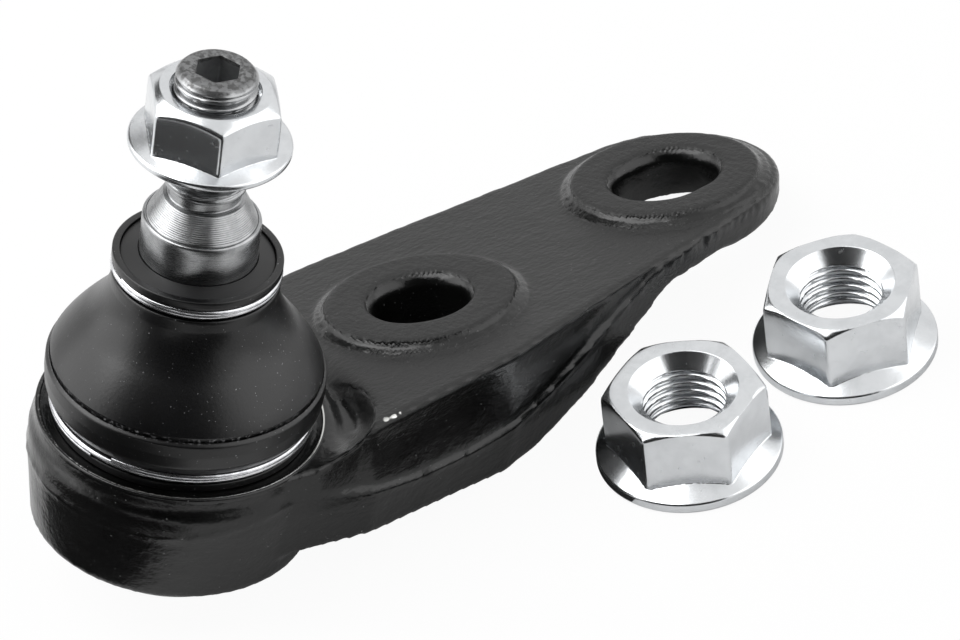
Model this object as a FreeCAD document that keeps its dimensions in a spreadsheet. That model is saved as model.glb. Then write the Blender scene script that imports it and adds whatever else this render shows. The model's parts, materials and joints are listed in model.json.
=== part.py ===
"""Suspension ball joint with its bolt-on arm, stud nut and two loose flange nuts.

Sizes are in millimetres. Everything on the ball joint is drawn in one joint frame: Z along
the stud when it stands upright, X towards the far bolt hole, and the origin on the stud axis
where the lower boot clamp lies. The arm plate is tilted in that frame. The finished pieces are
then laid down together, as the joint rests on a bench: on its domed cover and the far end of
the arm.
"""
import FreeCAD, Part
import math
import os
import re
import Sketcher

Vector = FreeCAD.Vector
Rotation = FreeCAD.Rotation
Placement = FreeCAD.Placement

SIZES = {
    # How the joint lies on the bench
    "rest_pitch_deg": 11.91,
    "rest_roll_deg": 5.186,
    "rest_lift": 27.79,
    "bench_shift_x": -43.57,
    "bench_shift_y": 14.29,
    # Tilted plane through the tops of the two bolt bosses
    "arm_plane_height": -3.2,
    "arm_roll_deg": 16.5,
    "arm_rise_deg": 3.9,
    # Housing eye of the forging
    "eye_top": -2.0,
    "eye_base": -20.7,
    "eye_parting": -9.0,
    "eye_rim_width": 0.6,
    "eye_rim_depth": 2.2,
    "eye_belly": 0.65,
    "eye_foot_wall": 2.8,
    "eye_edge_round": 0.7,
    "spotface_margin": 1.7,
    "spotface_depth": 0.4,
    "collar_top": 3.2,
    "collar_overhang": 1.0,
    "collar_wall": 0.8,
    "collar_edge": 0.4,
    "boot_seat_top": 1.4,
    "bore_shoulder": 1.0,
    "mouth_radius_low": 11.9,
    "mouth_radius_high": 12.9,
    # Arm outline, seen along the stud axis
    "arm_half_width": 24.0,
    "arm_taper_start": 44.0,
    "arm_end_radius": 17.0,
    "arm_root_x": 17.0,
    "arm_root_half_width": 20.5,
    "parting_spread": 0.8,
    "wall_draft_deg": 4.5,
    # Arm plate and its deep root
    "boss_height": 1.7,
    "plate_thickness": 5.0,
    "root_underside": -16.7,
    "root_bend_start": 43.0,
    "root_bend_radius": 26.0,
    "root_slope_deg": 31.0,
    "root_tilt_deg": 3.0,
    "valley_start": 0.6,
    "valley_radius": 28.5,
    "valley_height": 4.0,
    "valley_round": 7.5,
    # Bolt bosses, holes and the flat seats under them
    "near_hole_x": 46.0,
    "far_hole_x": 95.6,
    "boss_top_radius": 14.9,
    "boss_base_radius": 15.7,
    "boss_edge_round": 0.7,
    "boss_foot_round": 0.6,
    "hole_radius": 7.15,
    "slot_travel": 2.0,
    "hole_lead_in": 1.6,
    "tool_overrun": 5.0,
    "bolt_seat_radius": 14.0,
    "near_seat_depth": 16.3,
    "far_pad_radius": 15.8,
    "far_pad_height": 1.0,
    # Ball stud
    "ball_radius": 13.5,
    "ball_height": -8.5,
    "ball_flat_radius": 5.0,
    "neck_radius": 6.75,
    "shank_radius": 8.6,
    "shank_bottom": 23.0,
    "neck_top": 18.0,
    "shoulder_height": 32.9,
    "shoulder_edge": 0.5,
    "undercut_radius": 5.3,
    "undercut_bottom": 36.9,
    "undercut_top": 38.4,
    "thread_radius": 5.95,
    "stud_end": 58.4,
    "stud_end_radius": 4.2,
    "stud_dome_height": 1.4,
    "socket_flats": 6.0,
    "socket_depth": 7.0,
    "socket_turn_deg": 43.7,
    "undercut_round": 0.6,
    # Ball seat and cover
    "ball_clearance": 0.05,
    "seat_wall": 2.5,
    "seat_top": 0.9,
    "seat_grip_deg": 54.0,
    "seat_tail_radius": 13.9,
    "cover_bottom": -25.2,
    "cover_sheet": 1.5,
    "cover_edge_round": 1.2,
    "cover_gap": 0.05,
    "cover_rim_width": 2.5,
    "cover_rim_top": -18.2,
    "rolled_lip": 1.0,
    # Dust boot
    "boot_wall": 1.4,
    "boot_gap": 0.05,
    "boot_bead_width": 2.2,
    "boot_bulge_swell": 1.4,
    "boot_bulge_low": 3.5,
    "boot_bulge_high": 6.6,
    "boot_crease_width": 0.5,
    "boot_crease_height": 0.8,
    "boot_flank_curve": 60.0,
    "boot_cone_top": 18.0,
    "boot_cone_top_radius": 13.2,
    "boot_throat_curve": 6.0,
    "boot_throat_radius": 12.2,
    "boot_throat_height": 21.0,
    "boot_lip_radius": 12.35,
    "boot_lip_bottom": 25.2,
    "boot_lip_width": 1.1,
    "boot_top": 26.4,
    "insert_recess": 0.4,
    "insert_rise": 0.7,
    "insert_thickness": 0.9,
    "boot_lip_gap": 0.12,
    # Wire clamps
    "wire_radius": 0.5,
    "wire_lap": 0.02,
    "lower_clamp_height": 0.0,
    "upper_clamp_radius": 11.9,
    "upper_clamp_height": 24.0,
    # Shared by every flange nut
    "nut_chamfer_deg": 30.0,
    "nut_flat_margin": 0.2,
    "nut_corner_margin": 1.0,
    # Nut on the stud
    "stud_nut_seat": 45.2,
    "stud_nut_flats": 18.0,
    "stud_nut_height": 9.8,
    "stud_nut_flange_radius": 11.8,
    "stud_nut_flange_rim": 1.1,
    "stud_nut_flange_rise": 2.2,
    "stud_nut_turn_deg": 56.0,
    "stud_nut_crown_radius": 8.0,
    "stud_nut_sink": 0.6,
    "stud_nut_sink_depth": 0.6,
    "stud_nut_seat_chamfer": 0.7,
    "nut_thread_gap": 0.05,
    # Loose nuts
    "loose_nut_flats": 21.5,
    "loose_nut_height": 12.5,
    "loose_nut_flange_radius": 13.95,
    "loose_nut_flange_rim": 1.7,
    "loose_nut_flange_rise": 3.4,
    "loose_nut_crown_radius": 11.0,
    "loose_nut_bore_radius": 6.2,
    "loose_nut_sink_radius": 8.25,
    "loose_nut_sink_depth": 2.8,
    "loose_nut_seat_chamfer": 3.4,
    "near_nut_x": 60.8,
    "near_nut_y": -39.8,
    "near_nut_turn_deg": 20.4,
    "far_nut_x": 92.7,
    "far_nut_y": -40.2,
    "far_nut_turn_deg": 38.2,
}

# Sizes that follow from the others, from the ball outwards
FOLLOWS = {
    "bore_radius": "<ball_radius> + <seat_wall>",
    "boot_seat_radius": "<bore_radius> + <collar_wall>",
    "collar_radius": "<boot_seat_radius> + <collar_overhang>",
    "boot_bead_radius": "<boot_seat_radius> + <boot_bead_width>",
    "lower_clamp_radius": "<boot_bead_radius>",
    "boot_bulge_radius": "<boot_bead_radius> + <boot_bulge_swell>",
    "spotface_radius": "<boot_bead_radius> + <spotface_margin>",
    "spotface_height": "<eye_top> - <spotface_depth>",
    "eye_radius_top": "<spotface_radius> + <eye_rim_width>",
    "eye_radius_parting": "<eye_radius_top> + <eye_belly>",
    "cover_dome_radius": "<seat_tail_radius> + <cover_gap> + <cover_sheet>",
    "cover_rim_radius": "<cover_dome_radius> + <cover_rim_width>",
    "rolled_lip_radius": "<cover_rim_radius> - <rolled_lip>",
    "eye_radius_base": "<cover_rim_radius> + <eye_foot_wall>",
    "cover_floor": "<cover_bottom> + <cover_sheet>",
}

doc = FreeCAD.newDocument("BallJoint")
sheet = doc.addObject("Spreadsheet::Sheet", "Sizes")
for row, (alias, number) in enumerate(SIZES.items(), start=1):
    cell = "B%d" % row
    sheet.set("A%d" % row, alias)
    sheet.set(cell, repr(number))
    sheet.setAlias(cell, alias)
doc.recompute()


def formula(expression):
    """Spells an expression out in the sheet's own sizes."""
    def spelled(match):
        name = match.group(1)
        if name in FOLLOWS:
            return "(" + formula(FOLLOWS[name]) + ")"
        return "Sizes." + name
    return re.sub("<([a-z_]+)>", spelled, expression)


def worked_out(expression):
    return float(sheet.evalExpression(formula(expression)))


def size(name):
    """The number that stands for this name, from the sheet or worked out from it."""
    return worked_out("<" + name + ">")


def new_sketch(body, role, name):
    """A sketch on one of the body's own origin planes."""
    sketch = body.newObject("Sketcher::SketchObject", name)
    plane = [item for item in body.Origin.OriginFeatures if item.Role == role][0]
    sketch.AttachmentSupport = [(plane, "")]
    sketch.MapMode = "FlatFace"
    return sketch


def bind(sketch, constraint, expression):
    index = sketch.addConstraint(constraint)
    sketch.setExpression("Constraints[%d]" % index, formula(expression))


def draw_outline(sketch, corners):
    """A closed outline through corners (x, y) or (x, y, radius), each a formula.

    A radius makes the stretch that arrives at its corner an arc: it bulges to the right of
    the way of travel, or to the left where the formula starts with a minus sign.
    """
    count = len(corners)
    places = [Vector(worked_out(corner[0]), worked_out(corner[1]), 0) for corner in corners]
    ends = []
    for index in range(count):
        start = places[index]
        end = places[(index + 1) % count]
        target = corners[(index + 1) % count]
        if len(target) == 2:
            edge = sketch.addGeometry(Part.LineSegment(start, end))
        else:
            radius = worked_out(target[2])
            chord = end - start
            side = Vector(chord.y, -chord.x, 0).normalize()
            rise = abs(radius) - math.sqrt(max(radius ** 2 - (chord.Length / 2) ** 2, 0))
            middle = (start + end) * 0.5 + side * math.copysign(rise, radius)
            edge = sketch.addGeometry(Part.Arc(start, middle, end))
            bind(sketch, Sketcher.Constraint("Radius", edge, abs(radius)),
                 "abs(" + target[2] + ")")
        first = 1 if sketch.getPoint(edge, 1).distanceToPoint(start) < 1e-6 else 2
        ends.append((edge, first, 3 - first))
    for index, (edge, first, last) in enumerate(ends):
        follower, follower_first, _ = ends[(index + 1) % count]
        sketch.addConstraint(
            Sketcher.Constraint("Coincident", edge, last, follower, follower_first))
        place = places[index]
        bind(sketch, Sketcher.Constraint("DistanceX", -1, 1, edge, first, place.x),
             corners[index][0])
        bind(sketch, Sketcher.Constraint("DistanceY", -1, 1, edge, first, place.y),
             corners[index][1])


def turned(label, corners):
    """A body turned about its Z axis from one outline of (radius, height) corners."""
    body = doc.addObject("PartDesign::Body", label)
    body.Label = label
    sketch = new_sketch(body, "XZ_Plane", label + "_profile")
    draw_outline(sketch, corners)
    turn = body.newObject("PartDesign::Revolution", label + "_turned")
    turn.Profile = sketch
    turn.ReferenceAxis = (sketch, ["V_Axis"])
    turn.Angle = 360
    sketch.Visibility = False
    doc.recompute()
    return body


def turned_cut(body, name, corners):
    """Turns an outline of (radius, height) corners out of a body."""
    before = body.Shape.Volume
    sketch = new_sketch(body, "XZ_Plane", name + "_profile")
    draw_outline(sketch, corners)
    groove = body.newObject("PartDesign::Groove", name)
    groove.Profile = sketch
    groove.ReferenceAxis = (sketch, ["V_Axis"])
    groove.Angle = 360
    doc.recompute()
    if body.Shape.Volume >= before:
        raise RuntimeError(name + " removed nothing")
    return groove


def hexagon(sketch, flats):
    """A hexagon round the sketch's origin, two of its corners on the X axis."""
    corner = worked_out(flats) / math.sqrt(3)
    points = [Vector(corner * math.cos(math.radians(60 * k)),
                     corner * math.sin(math.radians(60 * k)), 0) for k in range(6)]
    for k in range(6):
        sketch.addGeometry(Part.LineSegment(points[k], points[(k + 1) % 6]))
    for k in range(6):
        sketch.addConstraint(Sketcher.Constraint("Coincident", k, 2, (k + 1) % 6, 1))
        turn = "60 deg * %d" % k
        bind(sketch, Sketcher.Constraint("DistanceX", -1, 1, k, 1, points[k].x),
             "(" + flats + ") / sqrt(3) * cos(" + turn + ")")
        bind(sketch, Sketcher.Constraint("DistanceY", -1, 1, k, 1, points[k].y),
             "(" + flats + ") / sqrt(3) * sin(" + turn + ")")


def flange_nut(label, prefix, bore, sink):
    """A hexagon nut on its flange: seat at height 0, chamfered top, plain bore."""
    flats = "<%s_flats>" % prefix
    height = "<%s_height>" % prefix
    rim = "<%s_flange_rim>" % prefix
    rise = "<%s_flange_rise>" % prefix
    radius = "<%s_flange_radius>" % prefix
    crown = "<%s_crown_radius>" % prefix
    sink_depth = "<%s_sink_depth>" % prefix
    seat_chamfer = "<%s_seat_chamfer>" % prefix
    body = doc.addObject("PartDesign::Body", label)
    body.Label = label
    outline = new_sketch(body, "XY_Plane", label + "_hexagon")
    hexagon(outline, flats)
    block = body.newObject("PartDesign::Pad", label + "_block")
    block.Profile = outline
    block.setExpression("Length", formula(height))
    flange = new_sketch(body, "XZ_Plane", label + "_flange")
    draw_outline(flange, [
        ("0", "0"),
        (radius + " - " + rim + " / 4", "0"),
        (radius, rim + " / 4", rim + " / 3"),
        (radius, rim + " * 3 / 4"),
        (radius + " - " + rim + " / 4", rim, rim + " / 3"),
        (flats + " / 2 - <nut_flat_margin>", rise),
        ("0", rise),
    ])
    turn = body.newObject("PartDesign::Revolution", label + "_flange_turned")
    turn.Profile = flange
    turn.ReferenceAxis = (flange, ["V_Axis"])
    turn.Angle = 360
    doc.recompute()
    beyond = "(" + flats + " / sqrt(3) + <nut_corner_margin>)"
    drop = "(" + beyond + " - " + crown + ") * tan(<nut_chamfer_deg> * 1 deg)"
    turned_cut(body, label + "_chamfer", [
        (crown, height),
        (beyond, height + " - " + drop),
        (beyond, height + " + <tool_overrun>"),
        (crown, height + " + <tool_overrun>"),
    ])
    turned_cut(body, label + "_bore", [
        ("0", "-<tool_overrun>"),
        (bore + " + " + seat_chamfer, "-<tool_overrun>"),
        (bore + " + " + seat_chamfer, "0"),
        (bore, seat_chamfer),
        (bore, height + " - " + sink_depth),
        (sink, height),
        (sink, height + " + <tool_overrun>"),
        ("0", height + " + <tool_overrun>"),
    ])
    return body


# Where the joint lies, and how the arm's plane is tilted in the joint's own frame
bench = Placement(
    Vector(size("bench_shift_x"), size("bench_shift_y"), size("rest_lift")),
    Rotation(Vector(0, 1, 0), size("rest_pitch_deg"))
    * Rotation(Vector(1, 0, 0), size("rest_roll_deg")))
arm_plane = Placement(
    Vector(0, 0, size("arm_plane_height")),
    Rotation(Vector(0, 1, 0), -size("arm_rise_deg"))
    * Rotation(Vector(1, 0, 0), -size("arm_roll_deg")))


def boolean(kind, label, base, tool):
    result = doc.addObject("Part::" + kind, label)
    result.Label = label
    result.Base = base
    result.Tool = tool
    doc.recompute()
    return result


def fused(label, pieces):
    result = doc.addObject("Part::MultiFuse", label)
    result.Label = label
    result.Shapes = pieces
    doc.recompute()
    return result


def arm_outline(sketch):
    """The arm's plan at the parting line: straight sides that taper into a round end."""
    half = "(<arm_half_width> + <parting_spread>)"
    root = "(<arm_root_half_width> + <parting_spread>)"
    end_radius = "(<arm_end_radius> + <parting_spread>)"
    start = "<arm_taper_start>"
    end_x = "(<far_hole_x> + <slot_travel> / 2)"
    lean = "asin((" + half + " - " + end_radius + ") / (" + end_x + " - " + start + "))"
    touch_x = end_x + " + " + end_radius + " * sin(" + lean + ")"
    touch_y = end_radius + " * cos(" + lean + ")"
    draw_outline(sketch, [
        ("0", "-" + root),
        ("<arm_root_x>", "-" + half),
        (start, "-" + half),
        (touch_x, "-" + touch_y),
        (end_x + " + " + end_radius, "0", end_radius),
        (touch_x, touch_y, end_radius),
        (start, half),
        ("<arm_root_x>", half),
        ("0", root),
    ])


def drafted_block():
    """The arm's outline drawn up and down from the parting line, narrowing both ways."""
    body = doc.addObject("PartDesign::Body", "arm_block")
    for name, downward in (("upper", False), ("lower", True)):
        outline = new_sketch(body, "XY_Plane", name + "_die_outline")
        outline.setExpression("AttachmentOffset.Base.z", formula("<eye_parting>"))
        doc.recompute()
        arm_outline(outline)
        wall = body.newObject("PartDesign::Pad", name + "_die_wall")
        wall.Profile = outline
        wall.setExpression("Length", formula("<boot_top>"))
        wall.setExpression("TaperAngle", formula("-<wall_draft_deg>"))
        wall.Reversed = downward
        doc.recompute()
    return body


def deep_root():
    """The deep part of the arm beside the eye, whose underside bends up to the plate."""
    slope = "(<root_slope_deg> * 1 deg)"
    bend_x = "(<root_bend_start> + <root_bend_radius> * sin" + slope + ")"
    bend_z = "(<root_underside> + <root_bend_radius> * (1 - cos" + slope + "))"
    slope_end_x = "(" + bend_x + " + (<boot_top> - " + bend_z + ") / tan" + slope + ")"
    body = doc.addObject("PartDesign::Body", "deep_root")
    side_view = new_sketch(body, "XZ_Plane", "root_side_view")
    draw_outline(side_view, [
        ("-<tool_overrun>", "<root_underside>"),
        ("<root_bend_start>", "<root_underside>"),
        (bend_x, bend_z, "<root_bend_radius>"),
        (slope_end_x, "<boot_top>"),
        ("-<tool_overrun>", "<boot_top>"),
    ])
    width = body.newObject("PartDesign::Pad", "root_width")
    width.Profile = side_view
    width.setExpression("Length", formula("<arm_half_width> * 4"))
    width.Midplane = True
    body.Placement = Placement(Vector(0, 0, 0),
                               Rotation(Vector(1, 0, 0), size("root_tilt_deg")),
                               Vector(0, -size("arm_half_width"), size("root_underside")))
    doc.recompute()
    return body


def plate_slab(label, bottom, thickness):
    """A slab wider than the arm, between two heights over the plane of the boss tops."""
    slab = doc.addObject("Part::Box", label)
    slab.setExpression("Length", formula("<far_hole_x> * 2"))
    slab.setExpression("Width", formula("<arm_half_width> * 4"))
    slab.setExpression("Height", formula(thickness))
    corner = Vector(-size("arm_half_width"), -2 * size("arm_half_width"), worked_out(bottom))
    slab.Placement = arm_plane.multiply(Placement(corner, Rotation()))
    doc.recompute()
    return slab


def on_arm_plane(piece, x):
    """Stands a turned piece on the tilted plane of the boss tops."""
    piece.Placement = arm_plane.multiply(Placement(Vector(x, 0, 0), Rotation()))
    doc.recompute()
    return piece


def boss(label, hole_x):
    """A raised round boss: a soft top edge, a sloping wall and a rounded foot."""
    foot = "-<boss_height>"
    return on_arm_plane(turned(label, [
        ("0", foot + " - <boss_foot_round>"),
        ("<boss_base_radius> + <boss_foot_round>", foot + " - <boss_foot_round>"),
        ("<boss_base_radius> + <boss_foot_round>", foot),
        ("<boss_base_radius>", foot + " + <boss_foot_round> / 2", "-<boss_foot_round>"),
        ("<boss_top_radius> + <boss_edge_round> / 2", "-<boss_edge_round>"),
        ("<boss_top_radius> - <boss_edge_round>", "0", "<boss_edge_round> * 2"),
        ("0", "0"),
    ]), size(hole_x))


def hole_tool(label, centre_x):
    """What a bolt hole removes: a plain bore whose mouth is rounded at the top."""
    return on_arm_plane(turned(label, [
        ("0", "-<arm_half_width> * 2"),
        ("<hole_radius>", "-<arm_half_width> * 2"),
        ("<hole_radius>", "-<hole_lead_in>"),
        ("<hole_radius> + <hole_lead_in>", "0", "-<hole_lead_in>"),
        ("<hole_radius> + <hole_lead_in>", "<tool_overrun>"),
        ("0", "<tool_overrun>"),
    ]), centre_x)


def build_forging():
    """Housing eye and bolt-on arm, one forging."""
    plate_bottom = "-(<boss_height> + <plate_thickness>)"
    plate = plate_slab("arm_plate", plate_bottom, "<plate_thickness>")
    below_plateau = plate_slab("below_plateau", "-<boss_height> - <arm_half_width> * 3",
                               "<arm_half_width> * 3")
    inner = fused("root_and_plate", [plate, deep_root()])
    trimmed = boolean("Common", "root_below_plateau", inner, below_plateau)
    arm = boolean("Common", "arm_body", trimmed, drafted_block())
    valley = turned("boot_valley", [
        ("0", "<spotface_height>"),
        ("<spotface_radius> - <spotface_depth>", "<spotface_height>"),
        ("<spotface_radius>", "<eye_top>"),
        ("<eye_radius_top> + <valley_start>", "<eye_top>"),
        ("<valley_radius>", "<valley_height>", "<valley_round>"),
        ("<valley_radius> + <valley_start>", "<boot_top>"),
        ("0", "<boot_top>"),
    ])
    hollowed = boolean("Cut", "arm_with_valley", arm, valley)
    eye = turned("housing_eye", [
        ("0", "<eye_base>"),
        ("<eye_radius_base> - <eye_edge_round>", "<eye_base>"),
        ("<eye_radius_base>", "<eye_base> + <eye_edge_round>", "<eye_edge_round>"),
        ("<eye_radius_parting>", "<eye_parting>"),
        ("<eye_radius_parting>", "<eye_top> - <eye_rim_depth> - <eye_belly> * 2"),
        ("<eye_radius_top>", "<eye_top> - <eye_rim_depth>"),
        ("<eye_radius_top>", "<eye_top> - <spotface_depth>"),
        ("<eye_radius_top> - <spotface_depth>", "<eye_top>", "<spotface_depth>"),
        ("<spotface_radius>", "<eye_top>"),
        ("<spotface_radius> - <spotface_depth>", "<spotface_height>"),
        ("<boot_seat_radius>", "<spotface_height>"),
        ("<boot_seat_radius>", "<boot_seat_top>"),
        ("<collar_radius>", "<boot_seat_top> + <collar_edge>"),
        ("<collar_radius>", "<collar_top> - <collar_edge>"),
        ("<collar_radius> - <collar_edge>", "<collar_top>"),
        ("0", "<collar_top>"),
    ])
    far_pad = on_arm_plane(turned("far_pad", [
        ("0", plate_bottom + " - <far_pad_height>"),
        ("<far_pad_radius> - <far_pad_height>", plate_bottom + " - <far_pad_height>"),
        ("<far_pad_radius>", plate_bottom, "<far_pad_height>"),
        ("<far_pad_radius>", plate_bottom + " + <far_pad_height>"),
        ("0", plate_bottom + " + <far_pad_height>"),
    ]), size("far_hole_x"))
    bosses = [boss("near_boss", "near_hole_x"), boss("far_boss", "far_hole_x")]
    solid = fused("forging_solid", [eye, hollowed, far_pad] + bosses)
    cavity = turned("ball_cavity", [
        ("0", "<eye_base> - <tool_overrun>"),
        ("<rolled_lip_radius>", "<eye_base> - <tool_overrun>"),
        ("<rolled_lip_radius>", "<cover_rim_top> - <cover_sheet>"),
        ("<cover_rim_radius>", "<cover_rim_top> - <cover_sheet>"),
        ("<cover_rim_radius>", "<cover_rim_top>"),
        ("<bore_radius>", "<cover_rim_top>"),
        ("<bore_radius>", "<bore_shoulder>"),
        ("<mouth_radius_low>", "<bore_shoulder>"),
        ("<mouth_radius_high>", "<collar_top>"),
        ("<mouth_radius_high>", "<collar_top> + <tool_overrun>"),
        ("0", "<collar_top> + <tool_overrun>"),
    ])
    near_seat = on_arm_plane(turned("near_bolt_seat", [
        ("0", "-<near_seat_depth> - <arm_half_width>"),
        ("<bolt_seat_radius>", "-<near_seat_depth> - <arm_half_width>"),
        ("<bolt_seat_radius>", "-<near_seat_depth>"),
        ("0", "-<near_seat_depth>"),
    ]), size("near_hole_x"))
    slot_shift = size("slot_travel") / 2
    holes = [hole_tool("near_hole", size("near_hole_x")),
             hole_tool("far_hole_inner", size("far_hole_x") - slot_shift),
             hole_tool("far_hole_outer", size("far_hole_x") + slot_shift)]
    removed = fused("removed_from_forging", [cavity, near_seat] + holes)
    return boolean("Cut", "forged_housing_arm", solid, removed)


def build_ball_stud():
    """Ball, neck, sealing shank, shoulder cone, undercut and threaded end in one piece."""
    flat_height = "sqrt(<ball_radius> ^ 2 - <ball_flat_radius> ^ 2)"
    neck_height = "sqrt(<ball_radius> ^ 2 - <neck_radius> ^ 2)"
    stud = turned("ball_stud", [
        ("0", "<ball_height> - " + flat_height),
        ("<ball_flat_radius>", "<ball_height> - " + flat_height),
        ("<ball_radius>", "<ball_height>", "<ball_radius>"),
        ("<neck_radius>", "<ball_height> + " + neck_height, "<ball_radius>"),
        ("<neck_radius>", "<neck_top>"),
        ("<shank_radius>", "<shank_bottom>"),
        ("<shank_radius>", "<shoulder_height> - <shoulder_edge>"),
        ("<shank_radius> - <shoulder_edge>", "<shoulder_height>", "<shoulder_edge>"),
        ("<undercut_radius> + <undercut_round>", "<undercut_bottom> - <undercut_round>"),
        ("<undercut_radius>", "<undercut_bottom>", "-<undercut_round>"),
        ("<undercut_radius>", "<undercut_top>"),
        ("<thread_radius>", "<undercut_top> + <thread_radius> - <undercut_radius>"),
        ("<thread_radius>", "<stud_end> - <stud_dome_height>"),
        ("<stud_end_radius>", "<stud_end>"),
        ("0", "<stud_end>"),
    ])
    sketch = new_sketch(stud, "XY_Plane", "socket_outline")
    hexagon(sketch, "<socket_flats>")
    sketch.AttachmentOffset = Placement(
        Vector(0, 0, size("stud_end")), Rotation(Vector(0, 0, 1), size("socket_turn_deg")))
    before = stud.Shape.Volume
    socket = stud.newObject("PartDesign::Pocket", "driving_socket")
    socket.Profile = sketch
    socket.setExpression("Length", formula("<socket_depth>"))
    doc.recompute()
    if stud.Shape.Volume >= before:
        raise RuntimeError("the driving socket removed nothing")
    return stud


def build_ball_seat():
    """The plastic cup that grips the ball from below its middle to above it."""
    inner = "(<ball_radius> + <ball_clearance>)"
    grip = "(<seat_grip_deg> * 1 deg)"
    return turned("ball_seat", [
        ("0", "<cover_floor>"),
        ("<seat_tail_radius>", "<cover_floor>"),
        ("<seat_tail_radius>", "<cover_rim_top>"),
        ("<bore_radius>", "<cover_rim_top>"),
        ("<bore_radius>", "<seat_top>"),
        ("<mouth_radius_low>", "<seat_top>"),
        (inner + " * sin" + grip, "<ball_height> + " + inner + " * cos" + grip),
        (inner, "<ball_height>", "-" + inner),
        ("0", "<ball_height> - " + inner, "-" + inner),
    ])


def build_cover():
    """The pressed steel cover: a dished cap held by the rolled lip of the housing."""
    inner = "<seat_tail_radius> + <cover_gap>"
    outer = "<cover_rim_radius> - <cover_gap>"
    floor = "<cover_floor> - <cover_gap>"
    return turned("pressed_cover", [
        ("0", "<cover_bottom>"),
        ("<cover_dome_radius> - <cover_edge_round>", "<cover_bottom>"),
        ("<cover_dome_radius>", "<cover_bottom> + <cover_edge_round>", "<cover_edge_round>"),
        ("<cover_dome_radius>", "<cover_rim_top> - <cover_sheet>"),
        (outer, "<cover_rim_top> - <cover_sheet>"),
        (outer, "<cover_rim_top>"),
        (inner, "<cover_rim_top>"),
        (inner, floor),
        ("0", floor),
    ])


def build_boot():
    """The rubber dust boot: a bead on the housing, a bulge, a cone and a lip on the shank."""
    bead_inner = "<boot_seat_radius> + <boot_gap>"
    clamp_low = "<lower_clamp_height> - <wire_radius> * 2"
    clamp_high = "<lower_clamp_height> + <wire_radius> * 2"
    clamp_floor = "<lower_clamp_radius> - <wire_radius>"
    upper_low = "<upper_clamp_height> - <wire_radius> * 2"
    upper_high = "<upper_clamp_height> + <wire_radius> * 2"
    upper_floor = "<upper_clamp_radius> - <wire_radius>"
    bore = "<shank_radius> + <boot_lip_gap>"
    insert_seat = "<boot_top> - <insert_recess> - <insert_thickness>"
    return turned("dust_boot", [
        (bead_inner, "<spotface_height>"),
        ("<boot_bead_radius>", "<spotface_height>"),
        ("<boot_bead_radius>", clamp_low),
        (clamp_floor, clamp_low),
        (clamp_floor, clamp_high),
        ("<boot_bead_radius>", clamp_high),
        ("<boot_bulge_radius>", "<boot_bulge_low>", "<boot_bulge_low>"),
        ("<boot_bulge_radius>", "<boot_bulge_high>"),
        ("<boot_bulge_radius> - <boot_crease_width>",
         "<boot_bulge_high> + <boot_crease_height>", "<boot_crease_height>"),
        ("<boot_cone_top_radius>", "<boot_cone_top>", "-<boot_flank_curve>"),
        ("<boot_throat_radius>", "<boot_throat_height>", "-<boot_throat_curve>"),
        ("<boot_throat_radius>", upper_low),
        (upper_floor, upper_low),
        (upper_floor, upper_high),
        ("<boot_lip_radius>", "<boot_lip_bottom>"),
        ("<boot_lip_radius>", "<boot_top>"),
        ("<boot_lip_radius> - <boot_lip_width>", "<boot_top>"),
        ("<boot_lip_radius> - <boot_lip_width>", insert_seat),
        (bore, insert_seat),
        (bore, upper_low),
        ("<boot_throat_radius> - <boot_wall>", "<boot_throat_height>"),
        ("<boot_cone_top_radius> - <boot_wall>", "<boot_cone_top>"),
        ("<boot_bulge_radius> - <boot_wall>", "<boot_bulge_high>"),
        ("<boot_bulge_radius> - <boot_wall>", "<boot_bulge_low>"),
        ("<collar_radius> + <boot_gap> * 2", "<boot_seat_top> + <boot_gap> * 4"),
        (bead_inner, "<boot_seat_top> - <boot_gap>"),
    ])


def build_collar_insert():
    """The ring that stiffens the boot's lip: a shallow cone that rises towards the shank."""
    inner = "<shank_radius> + <boot_lip_gap>"
    outer = "<boot_lip_radius> - <boot_lip_width> - <boot_gap>"
    top = "<boot_top> - <insert_recess>"
    return turned("boot_collar_insert", [
        (inner, top + " - <insert_thickness>"),
        (outer, top + " - <insert_thickness>"),
        (outer, top),
        (inner, top + " + <insert_rise>"),
    ])


def build_clamp(label, radius, height):
    """A clamp of round wire with two turns, one on the other."""
    rings = []
    for place, turn in (("lower", -1), ("upper", 1)):
        ring = doc.addObject("Part::Torus", label + "_" + place + "_turn")
        ring.setExpression("Radius1", formula("<%s>" % radius))
        ring.setExpression("Radius2", formula("<wire_radius>"))
        ring.Placement = Placement(
            Vector(0, 0, size(height) + turn * (size("wire_radius") - size("wire_lap") / 2)),
            Rotation())
        rings.append(ring)
    return fused(label, rings)


def lay_on_bench(pieces):
    for piece in pieces:
        piece.Placement = bench.multiply(piece.Placement)


lower_clamp = build_clamp("boot_lower_clamp", "lower_clamp_radius", "lower_clamp_height")
upper_clamp = build_clamp("boot_upper_clamp", "upper_clamp_radius", "upper_clamp_height")
stud_nut = flange_nut("stud_nut", "stud_nut", "<thread_radius> + <nut_thread_gap>",
                      "<thread_radius> + <nut_thread_gap> + <stud_nut_sink>")
stud_nut.Placement = Placement(Vector(0, 0, size("stud_nut_seat")),
                               Rotation(Vector(0, 0, 1), size("stud_nut_turn_deg")))
joint_pieces = [
    build_forging(),
    build_ball_stud(),
    build_ball_seat(),
    build_cover(),
    build_boot(),
    build_collar_insert(),
    lower_clamp,
    upper_clamp,
    stud_nut,
]
lay_on_bench(joint_pieces)

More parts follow.
